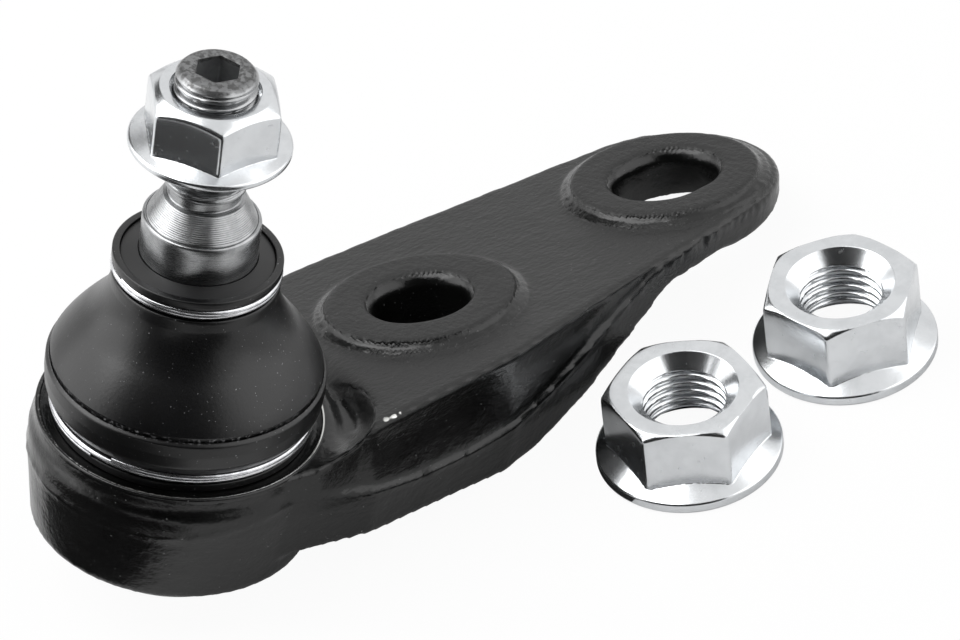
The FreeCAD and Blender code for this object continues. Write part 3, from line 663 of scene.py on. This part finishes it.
stud_steel = Finish("stud_steel", Metallic=1.0)
grain = stud_steel.noise(3.0, 4.0, 0.6)
turning = stud_steel.noise(1.0, 3.0, 0.7, (30, 30, 0.12))
# The stud's end face is darker and rougher, in patches
near_end = stud_steel.height() + stud_steel.noise(1.0, 3.0) * 0.9
darker_end = near_end.step(STUD_TOP - 0.5, STUD_TOP - 0.1)
darker_end = darker_end * (0.55 + stud_steel.noise(0.8, 3.0, 0.6).step(0.42, 0.60) * 0.45)
in_socket = (1 - stud_steel.radius().step(3.5, 3.75)) * stud_steel.height().step(40, 45)
stud_steel.feed(
    Base_Color=stud_steel.mix(
        darker_end, stud_steel.mix(grain.step(0.35, 0.7), STUD_COLOUR, STUD_STAIN), STUD_END),
    Roughness=0.20 + turning * 0.14 + darker_end * 0.16 + in_socket * 0.2)
stud_steel.bump(turning, 0.012)

ball = [(BALL_RADIUS * math.sin(angle), -BALL_DEPTH - BALL_RADIUS * math.cos(angle))
        for angle in np.radians(np.linspace(BALL_FLAT_ANGLE, BALL_NECK_ANGLE, 60))]
cone = []
for bit in range(TOOL_RINGS * 4):
    share = bit / (TOOL_RINGS * 4)
    dip = TOOL_RING_DEPTH * (1 - abs(2 * ((bit / 4) % 1) - 1))
    cone.append((CONE_BOTTOM[0] + (CONE_TOP[0] - CONE_BOTTOM[0]) * share - dip,
                 CONE_BOTTOM[1] + (CONE_TOP[1] - CONE_BOTTOM[1]) * share))
undercut = outline([CONE_TOP, *UNDERCUT, (THREAD_RADIUS, THREAD_BOTTOM - 0.2)], 0.15)
thread = outline([(THREAD_RADIUS, THREAD_BOTTOM - 0.18), (THREAD_RADIUS, THREAD_TOP - 0.3)], 0.1)
stud_rings = ([(0, ball[0][1])] + ball + outline(SHANK, 0.8) + cone + undercut + thread
              + outline(END_CHAMFER, 0.2))
socket = hexagon_radii(SOCKET_FLATS, SOCKET_CORNER, SOCKET_TURN, STUD_STEPS)
for depth in (0.18, *range(1, int(SOCKET_DEPTH) + 1)):
    stud_rings.append((socket, STUD_TOP - depth))
stud_rings += [(socket * 0.5, STUD_TOP - SOCKET_DEPTH - 0.6), (0, STUD_TOP - SOCKET_DEPTH - 1.0)]
stud = threaded(turned("stud", stud_rings, STUD_STEPS), stud_steel, Radius=THREAD_RADIUS,
                Depth=THREAD_DEPTH, Pitch=THREAD_PITCH, Bottom=THREAD_BOTTOM, Top=THREAD_TOP)
fitted("turned_stud", stud, stud_steel, "stud", ["ball_stud"])


# Dust boot: moulded black rubber, held by a wire clamp at each end, made as a lower and an upper
# half that meet at its middle.
RUBBER = (0.0012, 0.0012, 0.0014)
RUBBER_BLOOM = (0.0026, 0.0026, 0.0030)
LINT = (0.36, 0.36, 0.37)
BOOT_STEPS = 240
BOOT_WALL = 1.4
# Corners of the boot's outline up to the crease, then its flank up to the middle and its neck
BOOT_FOOT = (
    (16.9, -2.36), (19.0, -2.36, 0.3), (19.0, -1.05, 0.2), (18.5, -1.0, 0.05), (18.5, 1.0, 0.05),
    (19.2, 1.0, 0.3), (20.25, 2.7, 1.5), (20.45, 4.8, 2.0), (20.42, 6.75, 0.35),
    (19.95, 7.15, 0.15), (19.95, 7.75, 0.2))
FOOT_INSIDE = ((18.55, 7.4), (19.0, 6.0, 1.0), (18.95, 3.0, 1.0), (17.95, 1.7), (16.9, 1.4))
CREASE = 7.45
FLANK_RADIUS = 19.95
FLANK_BOTTOM = 7.75
BOOT_MIDDLE = 14.0
MIDDLE_SLOPE = -0.864
NECK_RADIUS = 12.25
NECK_HEIGHT = 21.0
NECK_SLOPE = -0.12
LIP = (
    (NECK_RADIUS, NECK_HEIGHT + 0.1), (12.2, 22.9, 0.3), (11.4, 22.98, 0.05),
    (11.4, 25.0, 0.05), (12.35, 25.02, 0.2), (12.35, 26.4, 0.2), (11.25, 26.4, 0.12),
    (11.25, 25.1), (8.75, 25.1), (8.75, 23.0), (10.8, 21.0, 2.0), (11.8, 18.0, 2.0))

rubber = Finish("boot_rubber")
bloom = rubber.noise(7.0, 3.0, 0.5)
more_right = 0.35 + rubber.side(-30).step(-4, 12) * 0.65
dots = rubber.noise(0.26, 0.0, 0.3).step(0.815, 0.845) * more_right
fibres = rubber.noise(0.5, 2.0, 0.4, (2.2, 0.5, 1.0)).step(0.80, 0.83) * more_right
in_crease = 1 - abs(rubber.height() - CREASE).step(0.15, 0.5)
dirt = dots + fibres + in_crease * rubber.noise(0.6, 3.0).step(0.5, 0.68) * 0.5
rubber.feed(
    Base_Color=rubber.mix(dirt, rubber.mix(bloom.step(0.3, 0.7), RUBBER, RUBBER_BLOOM), LINT),
    Roughness=0.29 + bloom * 0.08 + dirt * 0.3)
rubber.bump(rubber.noise(0.6, 3.0, 0.6), 0.02)

flank_rise = BOOT_MIDDLE - FLANK_BOTTOM
flank = [(FLANK_RADIUS - 1.35 * t - 3.0 * t ** 1.35, FLANK_BOTTOM + flank_rise * t)
         for t in np.linspace(0.04, 1, 26)]
inner_flank = [(radius - BOOT_WALL, height) for radius, height in reversed(flank)]
lower_rings = outline(BOOT_FOOT, 0.25) + flank + inner_flank + outline(FOOT_INSIDE, 0.6)
lower_half = turned("boot_lower_half", lower_rings, BOOT_STEPS)
middle_radius = flank[-1][0]
neck_rise = NECK_HEIGHT - BOOT_MIDDLE
neck = []
for t in np.linspace(0, 1, 40):
    radius = middle_radius + (NECK_RADIUS - middle_radius) * (3 - 2 * t) * t ** 2
    sway = (t ** 3 - 2 * t ** 2 + t) * MIDDLE_SLOPE + (t ** 3 - t ** 2) * NECK_SLOPE
    neck.append((radius + sway * neck_rise, BOOT_MIDDLE + neck_rise * t))
upper_rings = neck + outline([*LIP, (middle_radius - BOOT_WALL, BOOT_MIDDLE)], 0.3)
upper_half = turned("boot_upper_half", upper_rings, BOOT_STEPS)
lower_boot = fitted("boot_lower_half", lower_half, rubber, None, ["dust_boot"])
upper_boot = fitted("boot_upper_half", upper_half, rubber, None, ["dust_boot"])
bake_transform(lower_boot)
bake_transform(upper_boot)


# Collar insert: a stiff black ring pressed into the boot's lip. It rises a little towards the
# stud's shank and slides on it.
INSERT_COLOUR = (0.003, 0.003, 0.0034)
INSERT_STEPS = 180
INSERT = ((8.72, 25.1), (11.2, 25.1), (11.2, 26.0, 0.1), (9.1, 26.6, 0.25), (8.72, 26.7))

insert_plastic = Finish("insert_plastic", Base_Color=(*INSERT_COLOUR, 1))
insert_plastic.feed(Roughness=0.38 + insert_plastic.noise(2.0, 3.0) * 0.12)
lip_insert = turned("lip_insert", outline(INSERT, 0.2), INSERT_STEPS)
fitted("lip_insert", lip_insert, insert_plastic, "boot_collar",
       ["boot_collar_insert"])


# Wire clamps: bright spring wire of two turns round each end of the boot, with cut ends.
WIRE_COLOUR = (0.72, 0.73, 0.75)
WIRE_STAIN = (0.5, 0.5, 0.52)
WIRE_RADIUS = 0.5
WIRE_RISE = 0.96
WIRE_STOPS = 120
WIRE_SIDES = 14


def wire_winder():
    """A tree that winds round wire into turns that climb from the lower end to the upper."""
    tree, given, keys = started_tree("wire_winder", "Radius", "Turns", "Rise", "Wire Radius")
    nodes = Nodes(tree)
    line = nodes.add("GeometryNodeCurveSpiral", Resolution=WIRE_STOPS, Rotations=given["Turns"],
                     Start_Radius=given["Radius"], End_Radius=given["Radius"],
                     Height=given["Rise"])
    section = nodes.add("GeometryNodeCurvePrimitiveCircle", Resolution=WIRE_SIDES,
                        Radius=given["Wire Radius"])
    wire = nodes.add("GeometryNodeCurveToMesh", Curve=line, Profile_Curve=section, Fill_Caps=True)
    smooth = nodes.add("GeometryNodeSetShadeSmooth", Geometry=wire)
    end_tree(tree, smooth, given["Material"])
    return tree, keys


winder, winder_keys = wire_winder()
wire_zinc = Finish("clamp_wire", Metallic=1.0)
wire_stain = wire_zinc.noise(1.2, 3.0)
wire_zinc.feed(Base_Color=wire_zinc.mix(wire_stain.step(0.35, 0.7), WIRE_COLOUR, WIRE_STAIN),
               Roughness=0.18 + wire_stain * 0.15)
# Each clamp's radius, its middle height, the angle of its lower end, its turns and its body
for name, radius, height, turn, turns, body, node in (
        ("wire_clamp_lower", 19.0, 0.0, 187.6, 1.97, "housing", "boot_lower_clamp"),
        ("wire_clamp_upper", 11.9, 24.0, 150, 1.95, "boot_collar", "boot_upper_clamp")):
    clamp = grown(bpy.data.meshes.new(name), winder, winder_keys, wire_zinc, Radius=radius,
                  Turns=turns, Rise=WIRE_RISE, Wire_Radius=WIRE_RADIUS)
    clamp.transform(Matrix.Translation((0, 0, height - WIRE_RISE / 2))
                    @ Matrix.Rotation(math.radians(turn), 4, "Z"))
    fitted(name, clamp, wire_zinc, body, [node])


# Flange nuts: cold-formed hexagon nuts on their own washers, with bright zinc plate. One turns
# on the stud and two larger ones, for the arm's bolts, stand loose beside it.
ZINC = (0.68, 0.695, 0.71)
ZINC_DULL = (0.56, 0.575, 0.59)
NUT_STEPS = 240
NUT_RING = 0.12
NUT_CORNER = 0.5
NUT_EDGE = 0.5
NUT_CHAMFER = 30
NUT_THREAD_DEPTH = 0.7
STUD_NUT_SEAT = 45.2
STUD_NUT = {"flats": 18.0, "height": 9.8, "flange": 11.8, "rim": 1.1, "rise": 2.2, "crown": 8.0,
            "bore": 6.0, "sink": 6.6, "sink_depth": 0.6, "foot": 0.7, "turn": 56}
LOOSE_NUT = {"flats": 21.5, "height": 12.5, "flange": 13.95, "rim": 1.7, "rise": 3.4,
             "crown": 11.0, "bore": 6.2, "sink": 8.25, "sink_depth": 2.0, "foot": 3.4}

nut_zinc = Finish("nut_zinc", Metallic=1.0)
plating = nut_zinc.noise(4.0, 4.0, 0.6)
scuffs = nut_zinc.noise(1.2, 3.0, 0.6).step(0.62, 0.75)
nut_zinc.feed(
    Base_Color=nut_zinc.mix(plating.step(0.35, 0.7) * 0.6 + scuffs * 0.4, ZINC, ZINC_DULL),
    Roughness=0.15 + plating * 0.12 + scuffs * 0.12)
nut_zinc.bump(plating, 0.03)


def nut_rings(flats, height, flange, rim, rise, crown, bore, sink, sink_depth, foot, turn):
    """Rings up the outside of a flange nut, over its chamfered top and down its bore."""
    hexagon = hexagon_radii(flats, NUT_CORNER, turn, NUT_STEPS)
    rings = outline([(bore + foot, 0.0), (flange - 0.35, 0.0)], 0.8)
    edge = outline([(flange - 0.35, 0.0), (flange, 0.35, 0.3), (flange, rim, 0.45),
                    (flats / 2 - 0.4, rise)], NUT_RING)
    rings += [(np.maximum(radius, hexagon) if level > rim * 0.8 else radius, level)
              for radius, level in edge[1:]]
    for level in np.arange(rise + 0.15, height + 0.01, NUT_RING):
        cone = crown + (height - level) / math.tan(math.radians(NUT_CHAMFER))
        soft = np.hypot(hexagon - cone, NUT_EDGE)
        rings.append(((hexagon + cone - soft) / 2, min(level, height)))
    inner = rings[-1][0]
    rings += [(inner - 0.25, height + 0.02), (inner * 0.5 + sink * 0.5, height + 0.02)]
    rings += outline([(sink + 0.3, height + 0.02), (sink, height, 0.1),
                      (bore, height - sink_depth)], 0.2)
    rings += outline([(bore, height - sink_depth - 0.1), (bore, foot)], NUT_RING)
    return rings


def flange_nut(name, seat, **sizes):
    """A flange nut with its thread, laid on its seat."""
    mesh = turned(name, nut_rings(**sizes), NUT_STEPS)
    mesh = threaded(mesh, nut_zinc, Radius=sizes["bore"], Depth=-NUT_THREAD_DEPTH,
                    Pitch=THREAD_PITCH, Bottom=sizes["foot"],
                    Top=sizes["height"] - sizes["sink_depth"] + 0.6)
    mesh.transform(seat)
    return mesh


on_stud = flange_nut("nut_for_stud", Matrix.Translation((0, 0, STUD_NUT_SEAT)), **STUD_NUT)
fitted("nut_for_stud", on_stud, nut_zinc, "nut_on_stud", ["stud_nut"])
for node, body, turn in (("loose_nut_near", "near_nut", 17.4), ("loose_nut_far", "far_nut", 35.8)):
    low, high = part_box(node)
    middle = (low + high) / 2
    seat = Matrix.Translation((middle.x, middle.y, low.z)) @ Matrix.Scale(MM, 4)
    loose = flange_nut(node, Matrix.Identity(4), turn=turn, **LOOSE_NUT)
    fitted(node + "_plated", loose, nut_zinc, body, [node], seat)


# Camera and studio: the photograph's place of view, a pale floor, soft lamps round the joint and
# a white room. Black cards that only gloss can see give the paint and the rubber their dark parts.
CAMERA_PLACE = (-545.56, -579.36, 603.74)
CAMERA_HEADING = 43.755
CAMERA_DIP = 36.236
CAMERA_ROLL = 7.897
CAMERA_LENS = 257.96
CAMERA_SENSOR = 36
FLOOR_COLOUR = (0.94, 0.94, 0.94)
FLOOR_SIZE = 3
FLOOR_WHITENESS = 0.95
ROOM_LIGHT = 0.28
# Each lamp's azimuth, elevation, distance, width and power
LAMPS = {"left_softbox": (132, 28, 0.9, 0.80, 2.8), "right_softbox": (318, 28, 0.9, 1.20, 4.2),
         "back_softbox": (128, 64, 1.0, 0.80, 6.5)}
CARD_COLOUR = (0.035, 0.035, 0.035)
TABLE_CARD_HEIGHT = 0.0005
# Corners of the cards on the table: to the joint's left, in front of it and under its arm. The one
# under the arm is a painted shadow: it stands for the floor's shade beside the arm's near wall
TABLE_CARDS = {
    "left_card": ((-0.078, -0.03), (-0.074, 0.055), (-0.7, 0.16), (-0.7, -0.08)),
    "front_card": ((-0.085, -0.055), (-0.2, -0.09), (-1.2, -0.45), (-0.2, -1.2), (-0.03, -0.12),
                   (-0.045, -0.07)),
    "arm_shadow_card": ((-0.036, -0.022), (-0.020, -0.034), (0.024, -0.022), (0.030, -0.008))}
# The card behind the joint spans these azimuths and elevations at this distance
BACK_CARD_CORNERS = ((70, 22), (98, 22), (98, 48), (70, 48))
BACK_CARD_DISTANCE = 0.7
# The card behind the camera leans over it from its foot to its top
TALL_CARD_AZIMUTH = 217
TALL_CARD_FOOT = 1.3
TALL_CARD_TOP = 0.6
TALL_CARD_HEIGHT = 2.2
TALL_CARD_HALF = 1.2


def direction(azimuth, elevation=0.0):
    """The way from the joint to this azimuth and elevation in degrees."""
    turn, lift = math.radians(azimuth), math.radians(elevation)
    return Vector((math.cos(turn) * math.cos(lift), math.sin(turn) * math.cos(lift),
                   math.sin(lift)))


def flat_piece(name, corners, finish):
    """One flat face of the studio."""
    mesh = bpy.data.meshes.new(name)
    mesh.from_pydata([tuple(corner) for corner in corners], [], [range(len(corners))])
    mesh.materials.append(finish.material)
    piece = bpy.data.objects.new(name, mesh)
    bpy.context.scene.collection.objects.link(piece)
    return piece


lens = bpy.data.cameras.new("camera")
lens.sensor_width = CAMERA_SENSOR
lens.lens = CAMERA_LENS
lens.clip_start = 0.05
camera = bpy.data.objects.new("camera", lens)
bpy.context.scene.collection.objects.link(camera)
aim = (Matrix.Rotation(math.radians(CAMERA_HEADING - 90), 4, "Z")
       @ Matrix.Rotation(math.radians(90 - CAMERA_DIP), 4, "X")
       @ Matrix.Rotation(math.radians(CAMERA_ROLL), 4, "Z"))
camera.matrix_world = Matrix.Translation(joint_place @ Vector(CAMERA_PLACE)) @ joint_turn @ aim
bpy.context.scene.camera = camera

floor_paper = Finish("floor_paper", Base_Color=(*FLOOR_COLOUR, 1), Roughness=0.9)
glow = floor_paper.add("ShaderNodeEmission", Color=(1, 1, 1, 1), Strength=1.0)
by_camera = floor_paper.add("ShaderNodeLightPath", output=0)
lit = Signal(floor_paper.tree, floor_paper.shader.outputs[0])
both = floor_paper.add("ShaderNodeMixShader", slot0=by_camera * FLOOR_WHITENESS, slot1=lit,
                       slot2=glow)
floor_paper.tree.links.new(both.socket,
                           floor_paper.tree.nodes["Material Output"].inputs["Surface"])
flat_piece("floor", [(FLOOR_SIZE * x, FLOOR_SIZE * y, 0) for x, y in (
    (-1, -1), (1, -1), (1, 1), (-1, 1))], floor_paper)

world = bpy.data.worlds.new("studio")
world.use_nodes = True
bpy.context.scene.world = world
room = Nodes(world.node_tree)
by_camera, by_gloss, through_glass = (room.add("ShaderNodeLightPath", output=name) for name in (
    "Is Camera Ray", "Is Glossy Ray", "Is Transmission Ray"))
seen = by_camera.worked("MAXIMUM", by_camera, by_gloss.worked("MAXIMUM", by_gloss, through_glass))
strength = seen * (1 - ROOM_LIGHT) + ROOM_LIGHT
background = world.node_tree.nodes["Background"]
world.node_tree.links.new(strength.socket, background.inputs["Strength"])
background.inputs["Color"].default_value = (1, 1, 1, 1)

for name, (azimuth, elevation, distance, width, power) in LAMPS.items():
    lamp = bpy.data.lights.new(name, "AREA")
    lamp.size = width
    lamp.energy = power
    box = bpy.data.objects.new(name, lamp)
    away = direction(azimuth, elevation)
    box.matrix_world = (Matrix.Translation(away * distance)
                        @ away.to_track_quat("Z", "Y").to_matrix().to_4x4())
    bpy.context.scene.collection.objects.link(box)

card_black = Finish("card_black", Base_Color=(*CARD_COLOUR, 1), Roughness=1.0,
                    Specular_IOR_Level=0.0)
cards = {name: [(x, y, TABLE_CARD_HEIGHT) for x, y in corners]
         for name, corners in TABLE_CARDS.items()}
back = direction(TALL_CARD_AZIMUTH)
half = Vector((-back.y, back.x, 0)) * TALL_CARD_HALF
foot = back * TALL_CARD_FOOT
top = back * TALL_CARD_TOP + Vector((0, 0, TALL_CARD_HEIGHT))
cards["camera_card"] = [foot - half, foot + half, top + half, top - half]
cards["back_card"] = [direction(*corner) * BACK_CARD_DISTANCE for corner in BACK_CARD_CORNERS]
for name, corners in cards.items():
    card = flat_piece(name, corners, card_black)
    card.visible_camera = False
    card.visible_diffuse = False
    card.visible_shadow = False
bpy.context.scene.view_settings.view_transform = "Standard"
